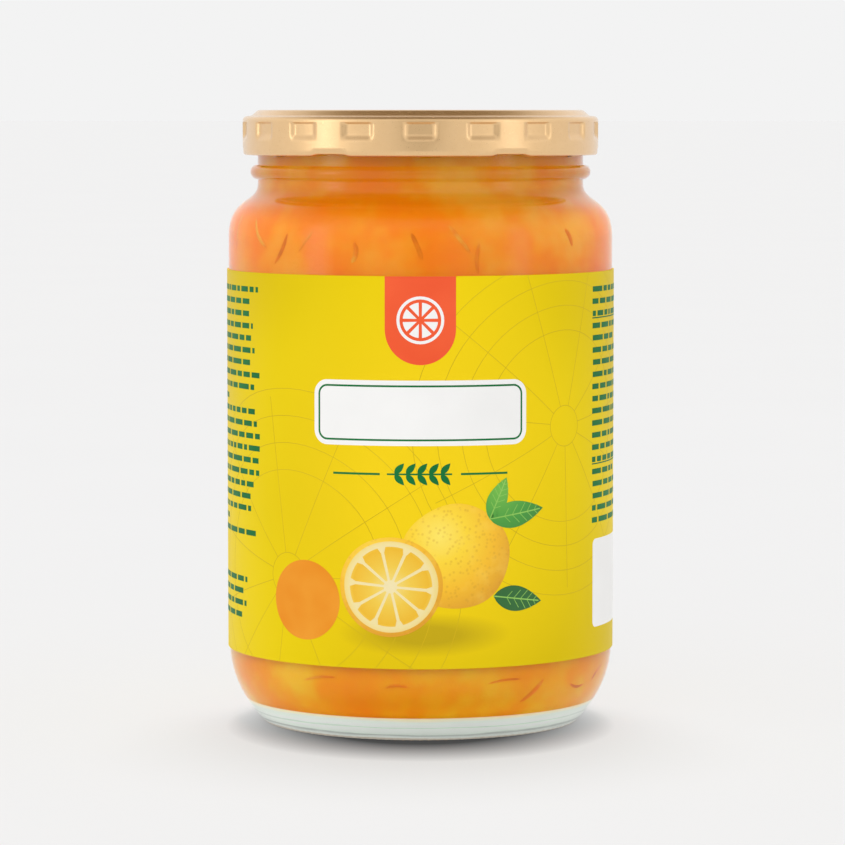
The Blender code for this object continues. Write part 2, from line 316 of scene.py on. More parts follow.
def plug_in(tree, value, socket):
    """Gives a socket a plain number or colour, or a link from another socket."""
    if isinstance(value, float):
        socket.default_value = value
    elif isinstance(value, tuple):
        socket.default_value = (*value, 1.0)
    else:
        tree.links.new(value, socket)


def calculate(tree, operation, *values):
    node = tree.nodes.new("ShaderNodeMath")
    node.operation = operation
    for value, socket in zip(values, node.inputs):
        plug_in(tree, value, socket)
    return node.outputs[0]


def axes_of(tree, vector):
    """The X, Y and Z of a vector, as sockets by name."""
    split = tree.nodes.new("ShaderNodeSeparateXYZ")
    tree.links.new(vector, split.inputs["Vector"])
    return split.outputs


glow_finish, tree, shader, where = new_finish("base_glass_glow")
streak = noise(tree, where, 60.0, 3.0, 0.6, (0.7, 0.7, 14.0))
band = calculate(tree, "MULTIPLY_ADD", streak, streak_shift, axes_of(tree, where)["Z"])
glow_stops = [
    (0.0, (0.60, 0.46, 0.32)),
    (0.03, (0.88, 0.84, 0.76)),
    (0.1, (0.80, 0.82, 0.78)),
    (0.17, (0.36, 0.38, 0.36)),
    (0.24, (0.80, 0.85, 0.80)),
    (0.44, (0.88, 0.92, 0.87)),
    (0.5, (0.60, 0.66, 0.61)),
    (0.55, (0.86, 0.90, 0.86)),
    (0.78, (0.76, 0.82, 0.76)),
    (0.9, (0.95, 0.80, 0.46)),
    (1.0, (1.0, 0.55, 0.12)),
]
colour = colour_ramp(tree, spread(tree, band, band_low, band_high), glow_stops)
tree.links.new(colour, shader.inputs["Base Color"])
roughen(tree, shader, streak, 0.4, 0.6)
shader.inputs["Specular IOR Level"].default_value = 0.1
shader.inputs["Emission Color"].default_value = (0.88, 0.92, 0.86, 1.0)
shader.inputs["Emission Strength"].default_value = 0.26

heel_rows = heel_curve(foot_radius, body_radius, 0.0, heel_height, heel_fullness, glow_rows)
heel_rows = [(r - glow_depth, z) for r, z in heel_rows if glow_low < z < glow_high]
glow_outline = heel_rows + [(r - glow_thickness, z) for r, z in reversed(heel_rows)]
glow_mesh = round_body(glow_outline, soft_columns)
new_piece("base_glow", glow_mesh, glow_finish, "jar")

# Preserve
# A thick orange jelly of citrus juice, pulp and peel, filled hot up into the neck. It wets the glass all
# over, so its skin is set just inside the wall of the jar, and light goes some way into it before it returns.
fill_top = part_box("preserve")[1].z
wetting = 0.12 * mm
film_height, film_fade = 0.3 * mm, 1.2 * mm
surface_dip, pulp_swell = 0.5 * mm, 0.1 * mm
pulp_lumps, pulp_waves = 5, 700
jelly_steps = 22
painted_light_bottom, painted_light_top = 0.004, 0.146
citrus_scatter = (1.0, 0.3, 0.05)


def blend_colours(tree, factor, first, second, mode="MIX"):
    """Mixes two colours; each value may be a socket or plain."""
    mix = tree.nodes.new("ShaderNodeMix")
    mix.data_type = "RGBA"
    mix.blend_type = mode
    for value, socket in ((factor, mix.inputs["Factor"]), (first, mix.inputs[6]), (second, mix.inputs[7])):
        plug_in(tree, value, socket)
    return mix.outputs[2]


jelly_finish, tree, shader, where = new_finish("citrus_jelly")
patches = noise(tree, where, 52.0, 3.0, 0.55)
patch_stops = [
    (0.32, (1.0, 0.25, 0.0)),
    (0.47, (1.0, 0.315, 0.001)),
    (0.55, (1.0, 0.40, 0.008)),
    (0.68, (1.0, 0.55, 0.04)),
]
colour = colour_ramp(tree, patches, patch_stops)
# Painted light and shade by height: the jelly is made lighter and yellower low down, where little light
# reaches it, and darker in the shoulder and neck.
tone = spread(tree, axes_of(tree, where)["Z"], painted_light_bottom, painted_light_top)
painted_light_stops = [
    (0.0, (1.0, 1.14, 0.5)),
    (0.12, (1.0, 1.08, 0.7)),
    (0.7, (1.0, 0.84, 1.0)),
    (0.82, (0.99, 0.82, 1.0)),
    (0.88, (0.80, 0.71, 0.9)),
    (1.0, (0.72, 0.63, 0.9)),
]
colour = blend_colours(tree, 1.0, colour, colour_ramp(tree, tone, painted_light_stops), "MULTIPLY")
tree.links.new(colour, shader.inputs["Base Color"])
shader.inputs["Subsurface Weight"].default_value = 0.35
shader.inputs["Subsurface Radius"].default_value = citrus_scatter
shader.inputs["Subsurface Scale"].default_value = 0.004
shader.inputs["Specular IOR Level"].default_value = 0.1
# A faint orange glow: painted light standing in for light that passes through the jelly from behind.
shader.inputs["Emission Color"].default_value = (1.0, 0.40, 0.0, 1.0)
shader.inputs["Emission Strength"].default_value = 0.12
grain = noise(tree, where, 320.0, 3.0, 0.6)
roughen(tree, shader, grain, 0.25, 0.5, 0.6 * mm, 0.35)


def shape_jelly(radius, height, angle):
    """The wall of the jelly touches the glass; its free surface has soft lumps of pulp."""
    if height > fill_top - surface_dip and radius < mouth_radius - 1.0 * mm:
        height -= pulp_swell * (1 + math.sin(math.radians(angle * pulp_lumps) + radius * pulp_waves))
    return radius, height


def wet_wall():
    """The jelly's outline: into the skin of the glass on the wall, and a hair clear of the floor, where a
    film of trapped air makes the thick base look clear."""
    wall = []
    for r, z in glass_inside(jelly_steps):
        wet = smooth((z - inner_floor - film_height) / film_fade)
        wall.append((r + wetting * (2 * wet - 1) if r > 0.0 else r, z + wetting * (1 - wet)))
    top = [
        (mouth_radius + wetting, fill_top - 0.3 * mm),
        (mouth_radius - 0.6 * mm, fill_top - 0.1 * mm),
        (mouth_radius - 2.5 * mm, fill_top - 0.4 * mm),
        (mouth_radius / 2, fill_top - surface_dip),
        (0.0, fill_top - surface_dip),
    ]
    return wall + top


jelly_mesh = round_body(wet_wall(), soft_columns, shape_jelly)
new_piece("preserve_jelly", jelly_mesh, jelly_finish, "jar", "preserve")

# Peel shreds
# Thin strips of candied citrus peel that float in the jelly. Some lie against the glass and show above and
# below the label as darker and lighter streaks, each bent to the wall, with a paler pith side.
shred_count = 36
shred_sink = 0.35 * mm
shred_proud = 0.2 * mm
shred_sections, shred_sides = 9, 8
upper_share = 0.62
upper_band, lower_band = (113.5, 119.0), (11.5, 16.0)
upper_slope, lower_slope = (math.pi / 2, 0.35), (0.25, 0.3)

peel_finish, tree, shader, where = new_finish("candied_peel")
peel_tone = noise(tree, where, 90.0, 3.0, 0.6)
peel_stops = [(0.36, (0.76, 0.18, 0.001)), (0.5, (0.97, 0.26, 0.003)), (0.62, (1.0, 0.44, 0.04))]
tree.links.new(colour_ramp(tree, peel_tone, peel_stops), shader.inputs["Base Color"])
shader.inputs["Subsurface Weight"].default_value = 0.4
shader.inputs["Subsurface Radius"].default_value = citrus_scatter
shader.inputs["Subsurface Scale"].default_value = 0.003
shader.inputs["Specular IOR Level"].default_value = 0.1
# A faint orange glow: painted light standing in for light that passes through the peel.
shader.inputs["Emission Color"].default_value = (1.0, 0.36, 0.0, 1.0)
shader.inputs["Emission Strength"].default_value = 0.08
pores = noise(tree, where, 900.0, 2.0, 0.5)
roughen(tree, shader, pores, 0.3, 0.5, 0.2 * mm, 0.5)


def wall_radius_at(height):
    """Radius of the inside of the glass at a height, read from its outline."""
    outline = glass_inside()
    for (r0, z0), (r1, z1) in zip(outline, outline[1:]):
        if z1 > z0 and z0 <= height <= z1:
            return r0 + (r1 - r0) * (height - z0) / (z1 - z0)
    return mouth_radius


def add_shred(bm, angle, height, length, width, slope, bend):
    """One strip pressed to the wall: a row of sections along a gently bent line, fat in the middle."""
    rings = []
    for i in range(shred_sections + 1):
        t = i / shred_sections
        along = (t - 0.5) * length
        aside = bend * (math.sin(math.pi * t) - 0.6)
        du = along * math.cos(slope) - aside * math.sin(slope)
        dz = along * math.sin(slope) + aside * math.cos(slope)
        taper = math.sqrt(max(0.06, 1 - (2 * t - 1) ** 4))
        z = height + dz
        wall = wall_radius_at(z)
        ring = []
        for j in range(shred_sides):
            turn = math.tau * j / shred_sides
            across = width / 2 * taper * math.cos(turn)
            out = math.sin(turn)
            u = du - across * math.sin(slope)
            high = z + across * math.cos(slope)
            radius = wall + wetting + (shred_proud * out if out > 0 else shred_sink * out) * taper
            ring.append(bm.verts.new(at_angle(radius, angle + math.degrees(u / wall), high)))
        rings.append(ring)
    skin(bm, rings, capped=True)


rng = random.Random(41)
shreds = bmesh.new()
for i in range(shred_count):
    angle = (i + rng.uniform(-0.4, 0.4)) * 360.0 / shred_count
    upper = rng.random() < upper_share
    slope = rng.gauss(*(upper_slope if upper else lower_slope))
    length = rng.uniform(3.5, 9.0) * mm
    width = rng.uniform(0.4, 1.3) * mm
    height = rng.uniform(*(upper_band if upper else lower_band)) * mm
    add_shred(shreds, angle, height, length, width, slope, rng.uniform(-0.8, 0.8) * mm)
new_piece("peel_shreds", shreds, peel_finish, "jar")

# Paper label
# One strip of coated paper, printed yellow all over and glued round the straight wall. Its ends leave a
# narrow gap at the back. The ink is yellow with soft golden fields.
label_low, label_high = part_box("label")
paper_radius = label_high.x
paper_inner_radius = body_radius + 0.05 * mm
label_start, label_end = -187.5, 165.0
label_bottom, label_top = label_low.z, label_high.z
facet_angle = 1.25
paper_rows = 8
fibre_scale, fibre_height, paper_shine = 2600.0, 0.02 * mm, 0.08


def label_coordinates(tree, where):
    """Distance round the label from its front, u, and height, v, in metres, as one vector."""
    axes = axes_of(tree, where)
    forward = calculate(tree, "MULTIPLY", axes["Y"], -1.0)
    turn = calculate(tree, "ARCTAN2", axes["X"], forward)
    join = tree.nodes.new("ShaderNodeCombineXYZ")
    tree.links.new(calculate(tree, "MULTIPLY", turn, paper_radius), join.inputs["X"])
    tree.links.new(axes["Z"], join.inputs["Y"])
    return join.outputs["Vector"]


def distance_from(tree, flat, u, v, squeeze=1.0):
    """Distance on the flat label from a point, in metres; squeeze above 1 flattens the circle."""
    place = tree.nodes.new("ShaderNodeMapping")
    place.inputs["Location"].default_value = (-u, -v * squeeze, 0.0)
    place.inputs["Scale"].default_value = (1.0, squeeze, 1.0)
    tree.links.new(flat, place.inputs["Vector"])
    length = tree.nodes.new("ShaderNodeVectorMath")
    length.operation = "LENGTH"
    tree.links.new(place.outputs["Vector"], length.inputs[0])
    return length.outputs["Value"]


def soft_spot(tree, flat, centre, squeeze, inner, outer, strength):
    """The strength within the inner distance from a point, falling to nothing at the outer one."""
    distance = distance_from(tree, flat, *centre, squeeze)
    return spread(tree, distance, inner, outer, strength, 0.0)


def paper_grain(tree, shader, where, low, high):
    """The fine fibre of the paper, which shows through the ink too."""
    fibre = noise(tree, where, fibre_scale, 2.0, 0.6)
    roughen(tree, shader, fibre, low, high, fibre_height, 0.4)


paper_finish, tree, shader, where = new_finish("yellow_coated_paper")
flat = label_coordinates(tree, where)
fields = noise(tree, flat, 14.0, 1.0, 0.4)
field_stops = [(0.36, (0.72, 0.53, 0.0)), (0.5, (0.80, 0.60, 0.0)), (0.62, (0.85, 0.64, 0.001))]
colour = colour_ramp(tree, fields, field_stops)
glow = soft_spot(tree, flat, (0.002, 0.062), 0.7, 0.012, 0.044, 1.0)
colour = blend_colours(tree, glow, colour, (0.91, 0.65, 0.008))
shade = soft_spot(tree, flat, (0.001, 0.0262), 4.0, 0.008, 0.021, 0.5)
colour = blend_colours(tree, shade, colour, (0.30, 0.20, 0.01))
tree.links.new(colour, shader.inputs["Base Color"])
shader.inputs["Specular IOR Level"].default_value = paper_shine
paper_grain(tree, shader, where, 0.38, 0.5)

paper = bmesh.new()
rings = []
for i in range(round((label_end - label_start) / facet_angle) + 1):
    angle = label_start + i * facet_angle
    section = [(paper_inner_radius, label_bottom), (paper_radius, label_bottom)]
    for j in range(1, paper_rows + 1):
        section.append((paper_radius, label_bottom + (label_top - label_bottom) * j / paper_rows))
    section.append((paper_inner_radius, label_top))
    rings.append([paper.verts.new(at_angle(r, angle, z)) for r, z in section])
skin(paper, rings, capped=True)
new_piece("paper_label", paper, paper_finish, "jar", "label")

# Background line print
# Fine golden lines of large citrus slices, printed over the yellow all round the label: rings and spokes,
# cut off at the label's edges.
ink_sink = 0.02 * mm
line_lift = 0.012 * mm
line_width = 0.16 * mm
print_bottom, print_top = label_bottom + 0.1 * mm, label_top - 0.02 * mm
slice_places = ((-34.0, 39.0, 44.0), (38.0, 74.0, 40.0), (112.0, 36.0, 42.0), (-108.0, 78.0, 38.0))
slice_rings, slice_spokes, ring_points = 5, 11, 72
slice_core, first_ring, ring_span, spoke_reach = 0.12, 0.42, 0.58, 0.96


def print_on_label(bm, outline, lift):
    """Lays a flat outline, (u, v) in metres, on the label as a thin film of ink that follows its curve."""
    sheet = bmesh.new()
    sheet.faces.new([sheet.verts.new((u, v, 0.0)) for u, v in outline])

    def cut(place, direction, **options):
        geometry = list(sheet.verts) + list(sheet.edges) + list(sheet.faces)
        bmesh.ops.bisect_plane(sheet, geom=geometry, plane_co=place, plane_no=direction, **options)

    for v, side in ((print_bottom, -1), (print_top, 1)):
        if any((p[1] - v) * side > 0 for p in outline):
            cut((0, v, 0), (0, side, 0), clear_outer=True)
    step = paper_radius * math.radians(facet_angle)
    us = [p[0] for p in outline]
    for k in range(math.floor(min(us) / step) + 1, math.ceil(max(us) / step)):
        cut((k * step, 0, 0), (1, 0, 0), dist=1e-7)
    base_faces = list(sheet.faces)
    if base_faces:
        grown = bmesh.ops.extrude_face_region(sheet, geom=base_faces)
        for vert in (item for item in grown["geom"] if isinstance(item, bmesh.types.BMVert)):
            vert.co.z = 1.0
    places = sorted(sheet.verts, key=lambda vert: tuple(vert.co))
    order = {vert: number for number, vert in enumerate(places)}
    copies = []
    for vert in places:
        radius = paper_radius + (lift if vert.co.z > 0.5 else -ink_sink)
        copies.append(bm.verts.new(at_angle(radius, math.degrees(vert.co.x / paper_radius), vert.co.y)))
    faces = []
    for face in sheet.faces:
        corners = [order[vert] for vert in face.verts]
        first = corners.index(min(corners))
        faces.append(corners[first:] + corners[:first])
    for corners in sorted(faces):
        bm.faces.new([copies[number] for number in corners])
    sheet.free()


def circle(u, v, radius, points=48, start=0.0, end=360.0, squeeze=1.0):
    """Points of a circle or arc on the flat label."""
    closed = abs(end - start) >= 360.0
    count = points if closed else points + 1
    turns = [math.radians(start + (end - start) * i / points) for i in range(count)]
    return [(u + radius * math.cos(t), v + radius * squeeze * math.sin(t)) for t in turns]


def print_piece(name, outlines, finish, lift):
    """One piece of the print: flat outlines in one ink."""
    bm = bmesh.new()
    for outline in outlines:
        print_on_label(bm, outline, lift)
    new_piece(name, bm, finish, "jar")


def line(start, end, width):
    """The outline of a straight line with square ends."""
    along = Vector((end[0] - start[0], end[1] - start[1])).normalized()
    side = Vector((-along.y, along.x)) * width / 2
    corners = [(start[0] + side.x, start[1] + side.y), (start[0] - side.x, start[1] - side.y)]
    return corners + [(end[0] - side.x, end[1] - side.y), (end[0] + side.x, end[1] + side.y)]


def inside_label(v):
    return label_bottom < v < label_top


def band(inner, outer):
    """Short quads, each flat on the paper, between two outlines with the same number of points."""
    quads = []
    for i in range(len(inner)):
        j = (i + 1) % len(inner)
        if inside_label(inner[i][1]) or inside_label(outer[j][1]):
            quads.append([inner[i], outer[i], outer[j], inner[j]])
    return quads


def round_band(u, v, radius, width, points):
    return band(*(circle(u, v, radius + side * width / 2, points) for side in (-1, 1)))


def ink(name, stops, scale=60.0):
    """Printing ink: a colour that varies softly, on the paper's own fine grain."""
    finish, tree, shader, where = new_finish(name)
    colour = colour_ramp(tree, noise(tree, where, scale, 2.0), stops)
    tree.links.new(colour, shader.inputs["Base Color"])
    shader.inputs["Specular IOR Level"].default_value = paper_shine
    paper_grain(tree, shader, where, 0.37, 0.5)
    return finish


line_ink = ink("golden_line_ink", [(0.3, (0.62, 0.43, 0.01)), (0.7, (0.70, 0.50, 0.015))])
slice_lines = []
for number, place in enumerate(slice_places):
    slice_u, slice_v, slice_radius = (length * mm for length in place)
    for ring in range(slice_rings):
        share = first_ring + ring_span * ring / (slice_rings - 1) if ring else slice_core
        slice_lines += round_band(slice_u, slice_v, slice_radius * share, line_width, ring_points)
    for spoke in range(slice_spokes):
        turn = math.tau * (spoke + 0.3 * number) / slice_spokes
        reach = [slice_radius * share for share in (slice_core, spoke_reach)]
        start, end = ((slice_u + r * math.cos(turn), slice_v + r * math.sin(turn)) for r in reach)
        if inside_label(start[1]) or inside_label(end[1]):
            slice_lines.append(line(start, end, line_width))
print_piece("label_slice_lines", slice_lines, line_ink, line_lift)

# Panel and top tab
# A blank white panel with round corners and a thin green keyline, and a coral tab that hangs from the top
# edge of the label with a small white citrus slice on it.
panel_centre = (0.0, 78.0 * mm)
panel_sizes = [26.0 * mm, 7.6 * mm, 3.4 * mm]
panel_lift = 0.03 * mm
keyline_lift, icon_lift = panel_lift + 0.012 * mm, panel_lift + 0.015 * mm
keyline_inset, keyline_width = 1.1 * mm, 0.45 * mm
tab_half_width, tab_foot = 8.3 * mm, 97.5 * mm
icon_centre, icon_radius, icon_rim, icon_tip = (0.0, 99.6 * mm), 5.2 * mm, (0.7 * mm, 1.1 * mm), 0.9 * mm
icon_segments, icon_gap = 8, 5.5


def rounded_panel(u, v, half_width, half_height, corner, points=8):
    outline = []
    corners = ((1, 1, 0.0), (-1, 1, 90.0), (-1, -1, 180.0), (1, -1, 270.0))
    for side_u, side_v, start in corners:
        centre = (u + side_u * (half_width - corner), v + side_v * (half_height - corner))
        outline += circle(*centre, corner, points, start, start + 90.0)
    return outline


def citrus_slice(centre, radius, rim, tip, count, gap, points):
    """A rim, (width, inset), round segments whose tips stop short of the middle."""
    outlines = round_band(*centre, radius, rim[0], points[0])
    half = 180.0 / count - gap
    for i in range(count):
        middle = 360.0 * (i + 0.5) / count
        corner = circle(*centre, tip, 4, middle, middle + 1.0)[0]
        arc = circle(*centre, radius - rim[1], points[1], middle - half, middle + half)
        outlines.append([corner] + arc)
    return outlines


white_ink = ink("white_ink", [(0.3, (0.88, 0.88, 0.87)), (0.7, (0.92, 0.92, 0.91))])
coral_ink = ink("coral_ink", [(0.3, (0.86, 0.10, 0.033)), (0.7, (0.92, 0.13, 0.045))])
green_ink = ink("green_ink", [(0.3, (0.006, 0.14, 0.035)), (0.7, (0.012, 0.19, 0.05))])

print_piece("label_name_panel", [rounded_panel(*panel_centre, *panel_sizes)], white_ink, panel_lift)

outer_sizes = [size - keyline_inset for size in panel_sizes]
inner_sizes = [size - keyline_width for size in outer_sizes]
keyline_edges = [rounded_panel(*panel_centre, *sizes) for sizes in (inner_sizes, outer_sizes)]
print_piece("label_keyline", band(*keyline_edges), green_ink, keyline_lift)

tab_outline = [(-tab_half_width, print_top)]
tab_outline += circle(0.0, tab_foot, tab_half_width, 32, 180.0, 360.0)
tab_outline.append((tab_half_width, print_top))
print_piece("label_tab", [tab_outline], coral_ink, panel_lift)

icon = citrus_slice(icon_centre, icon_radius, icon_rim, icon_tip, icon_segments, icon_gap, (36, 6))
print_piece("label_tab_slice", icon, white_ink, icon_lift)

# Leaf rule
# A thin green rule on each side of a sprig, which is a stalk with small leaves in pairs. It is printed in
# the same green ink as the keyline.
rule_v, rule_start, rule_end = 63.8 * mm, 9.5 * mm, 21.0 * mm
rule_width, stalk_width = 0.5 * mm, 0.4 * mm
rule_lift = 0.02 * mm
sprig_leaves, sprig_leaf_turn = 5, 48.0


def leaf_axes(turn):
    """The directions along and across a leaf that points at an angle, in degrees."""
    along = Vector((math.cos(math.radians(turn)), math.sin(math.radians(turn))))
    return along, Vector((-along.y, along.x))


def leaf_outline(base, turn, length, width, points=10):
    """A pointed leaf from its base along a direction, in degrees."""
    along, side = leaf_axes(turn)
    edge = []
    for i in range(points + 1):
        t = i / points
        half = width / 2 * math.sin(math.pi * t**0.8) ** 0.9 if 0 < t < 1 else 0.0
        edge.append((t * length, half))
    start = Vector(base)
    upper = [start + along * a + side * b for a, b in edge]
    lower = [start + along * a - side * b for a, b in reversed(edge[1:-1])]
    return [tuple(p) for p in upper + lower]


sprig = [line((side * rule_start, rule_v), (side * rule_end, rule_v), rule_width) for side in (-1, 1)]
sprig.append(line((-7.8 * mm, rule_v), (7.4 * mm, rule_v), stalk_width))
for i in range(sprig_leaves):
    u = (-6.0 + 2.7 * i) * mm
    for side in (-1, 1):
        base = (u, rule_v + side * 0.1 * mm)
        sprig.append(leaf_outline(base, side * sprig_leaf_turn, 3.3 * mm, 1.5 * mm))
print_piece("label_leaf_rule", sprig, green_ink, rule_lift)

# Citrus picture
# A printed picture of generic citrus: a whole fruit behind, one cut in half in front with its pith and ten
# segments, three leaves, and a plain orange spot to one side. Each colour is a film of ink with its shading.
whole_u, whole_v, whole_radius = 8.5 * mm, 44.5 * mm, 13.0 * mm
half_u, half_v, half_radius = -7.0 * mm, 37.5 * mm, 12.2 * mm
spot_u, spot_v, spot_radius = -28.8 * mm, 33.5 * mm, 9.4 * mm
segments, segment_gap, segment_tip = 10, 2.6, 1.6 * mm
whole_squeeze, half_squeeze = 0.95, 0.96
fruit_lift, rind_lift, pith_lift, flesh_lift = 0.03 * mm, 0.045 * mm, 0.06 * mm, 0.075 * mm
leaf_base = (whole_u + 8.0 * mm, whole_v + 8.6 * mm)
low_leaf_base = (whole_u + 9.0 * mm, whole_v - 9.5 * mm)
leaf_shapes = (
    (leaf_base, 8.0, 14.5 * mm, 6.2 * mm),
    (leaf_base, 66.0, 10.5 * mm, 5.0 * mm),
    (low_leaf_base, -8.0, 13.0 * mm, 6.0 * mm),
)
midrib_width, vein_width = 0.28 * mm, 0.14 * mm


def shaded_ink(name, light, light_reach, stops, pores=0.0):
    """Ink of a round thing: a ramp of colour by distance from where the light falls, with printed pores."""
    finish, tree, shader, where = new_finish(name)
    flat = label_coordinates(tree, where)
    distance = distance_from(tree, flat, *light)
    colour = colour_ramp(tree, spread(tree, distance, 0.0, light_reach), stops)
    if pores:
        cells = tree.nodes.new("ShaderNodeTexVoronoi")
        cells.inputs["Scale"].default_value = 900.0
        tree.links.new(flat, cells.inputs["Vector"])
        dots = spread(tree, cells.outputs["Distance"], 0.12, 0.4, pores, 0.0)
        colour = blend_colours(tree, dots, colour, (0.62, 0.28, 0.0))
        blotch = spread(tree, noise(tree, flat, 180.0, 3.0), 0.5, 0.75, 0.0, 0.35)
        colour = blend_colours(tree, blotch, colour, (1.0, 0.72, 0.10))
    tree.links.new(colour, shader.inputs["Base Color"])
    paper_grain(tree, shader, where, 0.36, 0.5)
    return finish


def wavy_circle(u, v, radius, wave, lobes, squeeze, points=72):
    """A nearly round outline with a few soft lobes, as a fruit has."""
    outline = []
    for i in range(points):
        t = math.tau * i / points
        r = radius * (1 + wave * math.sin(lobes * t) + wave / 2 * math.sin(2 * t + 1.0))
        outline.append((u + r * math.cos(t), v + r * squeeze * math.sin(t)))
    return outline


fruit_ink = shaded_ink(
    "fruit_skin_ink",
    (whole_u - 4.0 * mm, whole_v + 5.0 * mm),
    21.0 * mm,
    [
        (0.0, (1.0, 0.80, 0.12)),
        (0.3, (0.98, 0.68, 0.02)),
        (0.62, (0.93, 0.51, 0.005)),
        (1.0, (0.68, 0.28, 0.002)),
    ],
    0.35,
)
whole = wavy_circle(whole_u, whole_v, whole_radius, 0.012, 5, whole_squeeze)
print_piece("label_whole_fruit", [whole], fruit_ink, fruit_lift)

rind_ink = shaded_ink(
    "cut_rind_ink",
    (half_u - 3.0 * mm, half_v + 6.0 * mm),
    20.0 * mm,
    [(0.0, (0.99, 0.72, 0.05)), (0.5, (0.95, 0.52, 0.01)), (1.0, (0.72, 0.30, 0.003))],
    0.25,
)
rind = wavy_circle(half_u, half_v, half_radius, 0.01, 3, half_squeeze)
print_piece("label_cut_rind", [rind], rind_ink, rind_lift)

pith_ink = shaded_ink(
    "pith_ink",
    (half_u, half_v),
    12.0 * mm,
    [(0.0, (0.90, 0.78, 0.44)), (0.8, (0.90, 0.76, 0.36)), (1.0, (0.88, 0.66, 0.14))],
)
pith = wavy_circle(half_u, half_v, half_radius * 0.915, 0.006, 3, half_squeeze)
print_piece("label_pith", [pith], pith_ink, pith_lift)

flesh_ink = shaded_ink(
    "flesh_ink",
    (half_u, half_v),
    10.5 * mm,
    [
        (0.0, (0.92, 0.74, 0.22)),
        (0.45, (0.90, 0.60, 0.05)),
        (0.85, (0.88, 0.50, 0.01)),
        (1.0, (0.90, 0.62, 0.07)),
    ],
)
flesh = []
half = 180.0 / segments - segment_gap
segment_arcs = ((0.70, 3, 0.97, 1.0), (0.80, 8, -0.8, 0.8), (0.70, 3, -1.0, -0.97))
for i in range(segments):
    middle = 360.0 * (i + 0.35) / segments
    outline = circle(half_u, half_v, segment_tip, 2, middle - half * 0.5, middle + half * 0.5, half_squeeze)
    for share, points, low, high in segment_arcs:
        turns = (middle + half * low, middle + half * high)
        outline += reversed(circle(half_u, half_v, half_radius * share, points, *turns, half_squeeze))
    flesh.append(outline)
print_piece("label_flesh", flesh, flesh_ink, flesh_lift)

leaf_ink = shaded_ink(
    "leaf_ink",
    (19.0 * mm, 60.0 * mm),
    17.0 * mm,
    [(0.0, (0.16, 0.50, 0.05)), (0.45, (0.05, 0.32, 0.03)), (1.0, (0.012, 0.13, 0.016))],
)
print_piece("label_leaves", [leaf_outline(*shape, 16) for shape in leaf_shapes], leaf_ink, pith_lift)

vein_ink = ink("leaf_vein_ink", [(0.3, (0.25, 0.55, 0.10)), (0.7, (0.32, 0.62, 0.14))])
veins = []
for base, turn, length, width in leaf_shapes:
    along, side = leaf_axes(turn)
    start = Vector(base)
    veins.append(line(start, start + along * length * 0.94, midrib_width))
    for i in range(1, 6):
        share = 0.12 + 0.14 * i
        foot = start + along * length * share
        reach = width * 0.36 * math.sin(math.pi * share)
        for direction in (-1, 1):
            end = foot + along * reach * 0.8 + side * direction * reach
            veins.append(line(foot, end, vein_width))
print_piece("label_leaf_veins", veins, vein_ink, flesh_lift)

spot_ink = ink("orange_spot_ink", [(0.3, (0.82, 0.26, 0.012)), (0.7, (0.88, 0.34, 0.03))], 90.0)
spot = circle(spot_u, spot_v, spot_radius, 64)
print_piece("label_orange_spot", [spot], spot_ink, fruit_lift)

# Side and back print
# Rows of plain green bars and a blank white box stand at the sides. The back carries one more block of rows
# and a larger citrus slice in orange.
row_pitch, bar_height, bar_gap, shortest_bar = 2.9 * mm, 1.3 * mm, 0.9 * mm, 0.8 * mm
short_row_share = 0.45
bar_blocks = (
    (-82.0, -44.0, 106.4, 46.0, (9, 19)),
    (-82.0, -50.0, 37.0, 25.0, ()),
    (49.5, 88.0, 106.4, 49.0, (4, 15)),
    (100.0, 128.0, 92.0, 62.0, (6,)),
)
side_rule_ends, side_rule_heights = (49.5 * mm, 88.0 * mm), (98.9 * mm, 64.1 * mm)
box_centre, box_sizes = (67.5 * mm, 35.5 * mm), (17.5 * mm, 10.6 * mm, 1.5 * mm)
back_centre, back_radius = (114.0 * mm, 40.0 * mm), 13.0 * mm
back_rim, back_tip, back_gap = (1.3 * mm, 2.0 * mm), 1.8 * mm, 3.5
side_rng = random.Random(7)
bars = []


def add_bars(left, right, top, bottom, short_rows):
    """Rows of bars of word length, with ragged ends."""
    row = 0
    v = top
    while v - bar_height > bottom:
        u = left + side_rng.uniform(0.0, 0.4) * mm
        end = right - side_rng.uniform(0.0, 6.0) * mm
        if row in short_rows:
            end = left + (right - left) * short_row_share
        while u < end:
            stop = min(u + side_rng.uniform(1.6, 6.5) * mm, end)
            if stop - u > shortest_bar:
                bars.append([(u, v - bar_height), (stop, v - bar_height), (stop, v), (u, v)])
            u = stop + bar_gap
        v -= row_pitch
        row += 1


for *edges, short_rows in bar_blocks:
    add_bars(*(edge * mm for edge in edges), short_rows)
for v in side_rule_heights:
    start, end = ((u, v) for u in side_rule_ends)
    bars.append(line(start, end, 0.3 * mm))
print_piece("label_small_print", bars, green_ink, rule_lift)

print_piece("label_blank_box", [rounded_panel(*box_centre, *box_sizes)], white_ink, panel_lift)

back_slice = citrus_slice(back_centre, back_radius, back_rim, back_tip, segments, back_gap, (48, 8))
print_piece("label_back_slice", back_slice, spot_ink, panel_lift)

# Sealing ring
# A ring of soft compound flowed into the channel of the lid, which presses on the mouth of the jar. It is
# off-white and matt, with a faint mark where the mouth bears on it.
seal_low, seal_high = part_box("lid_liner")
seal_outer = seal_high.x
seal_inner = 36.4 * mm
seal_mark = 0.12 * mm

